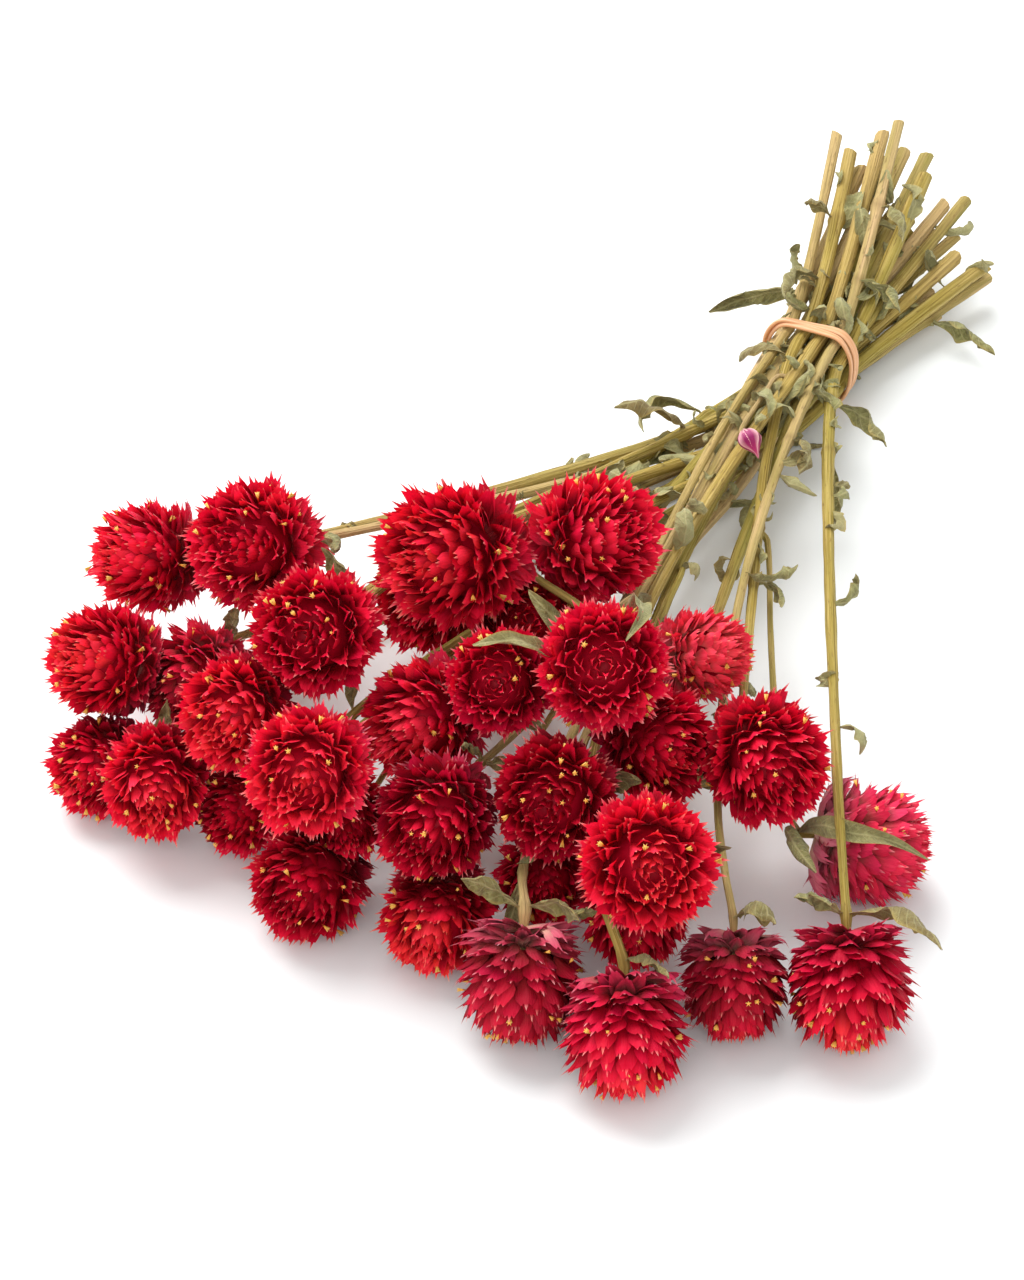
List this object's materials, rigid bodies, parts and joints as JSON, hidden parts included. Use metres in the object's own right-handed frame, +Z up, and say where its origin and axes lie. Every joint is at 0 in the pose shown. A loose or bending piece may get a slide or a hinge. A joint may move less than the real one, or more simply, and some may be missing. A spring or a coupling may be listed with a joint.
{
  "type": "dried globe amaranth bunch",
  "caption": "Tied bunch of dried globe amaranth lying on its side: crimson globe heads of pointed bracts on leafy stems held by a rubber band",
  "frame": {"origin": "on the table, at the middle of the bunch's bounding box in plan", "axes": "+Y along the bunch from the flower heads to the cut ends of the stems, +X to the right of that, +Z up from the table"},
  "size_m": [0.2268, 0.325, 0.0704],
  "materials": {
    "bracts": "matte",
    "stem": "matte",
    "bud": "matte",
    "rubber": "satin"
  },
  "bodies": {
    "root": {"flower_head_back_right": "bracts", "flower_head_back_top": "bracts", "flower_head_back_under": "bracts", "flower_head_centre_dark": "bracts", "flower_head_centre_under": "bracts", "flower_head_crown": "bracts", "flower_head_front_left_low": "bracts", "flower_head_front_low": "bracts", "flower_head_front_nodding": "bracts", "flower_head_front_right": "bracts", "flower_head_front_right_slim": "bracts", "flower_head_front_top": "bracts", "flower_head_front_under": "bracts", "flower_head_left_back": "bracts", "flower_head_left_front": "bracts", "flower_head_left_front_low": "bracts", "flower_head_left_front_under": "bracts", "flower_head_left_inner": "bracts", "flower_head_left_low": "bracts", "flower_head_left_middle": "bracts", "flower_head_left_top": "bracts", "flower_head_left_tucked": "bracts", "flower_head_middle": "bracts", "flower_head_middle_front": "bracts", "flower_head_middle_top": "bracts", "flower_head_middle_tucked": "bracts", "flower_head_outer_left": "bracts", "flower_head_outer_left_back": "bracts", "flower_head_outer_left_low": "bracts", "flower_head_outer_right": "bracts", "flower_head_right_back": "bracts", "flower_head_right_middle": "bracts", "flower_head_right_top": "bracts", "leafy_stem_back_right": "stem", "leafy_stem_back_under": "stem", "leafy_stem_centre_dark": "stem", "leafy_stem_crown": "stem", "leafy_stem_front_low": "stem", "leafy_stem_front_nodding": "stem", "leafy_stem_front_right": "stem", "leafy_stem_front_right_slim": "stem", "leafy_stem_front_top": "stem", "leafy_stem_left_back": "stem", "leafy_stem_left_front": "stem", "leafy_stem_left_middle": "stem", "leafy_stem_left_top": "stem", "leafy_stem_left_tucked": "stem", "leafy_stem_middle": "stem", "leafy_stem_middle_front": "stem", "leafy_stem_middle_top": "stem", "leafy_stem_outer_left": "stem", "leafy_stem_outer_left_back": "stem", "leafy_stem_outer_left_low": "stem", "leafy_stem_right_middle": "stem", "leafy_stem_right_top": "stem", "rubber_band": "rubber", "unopened_bud": "bud"}
  },
  "joints": []
}
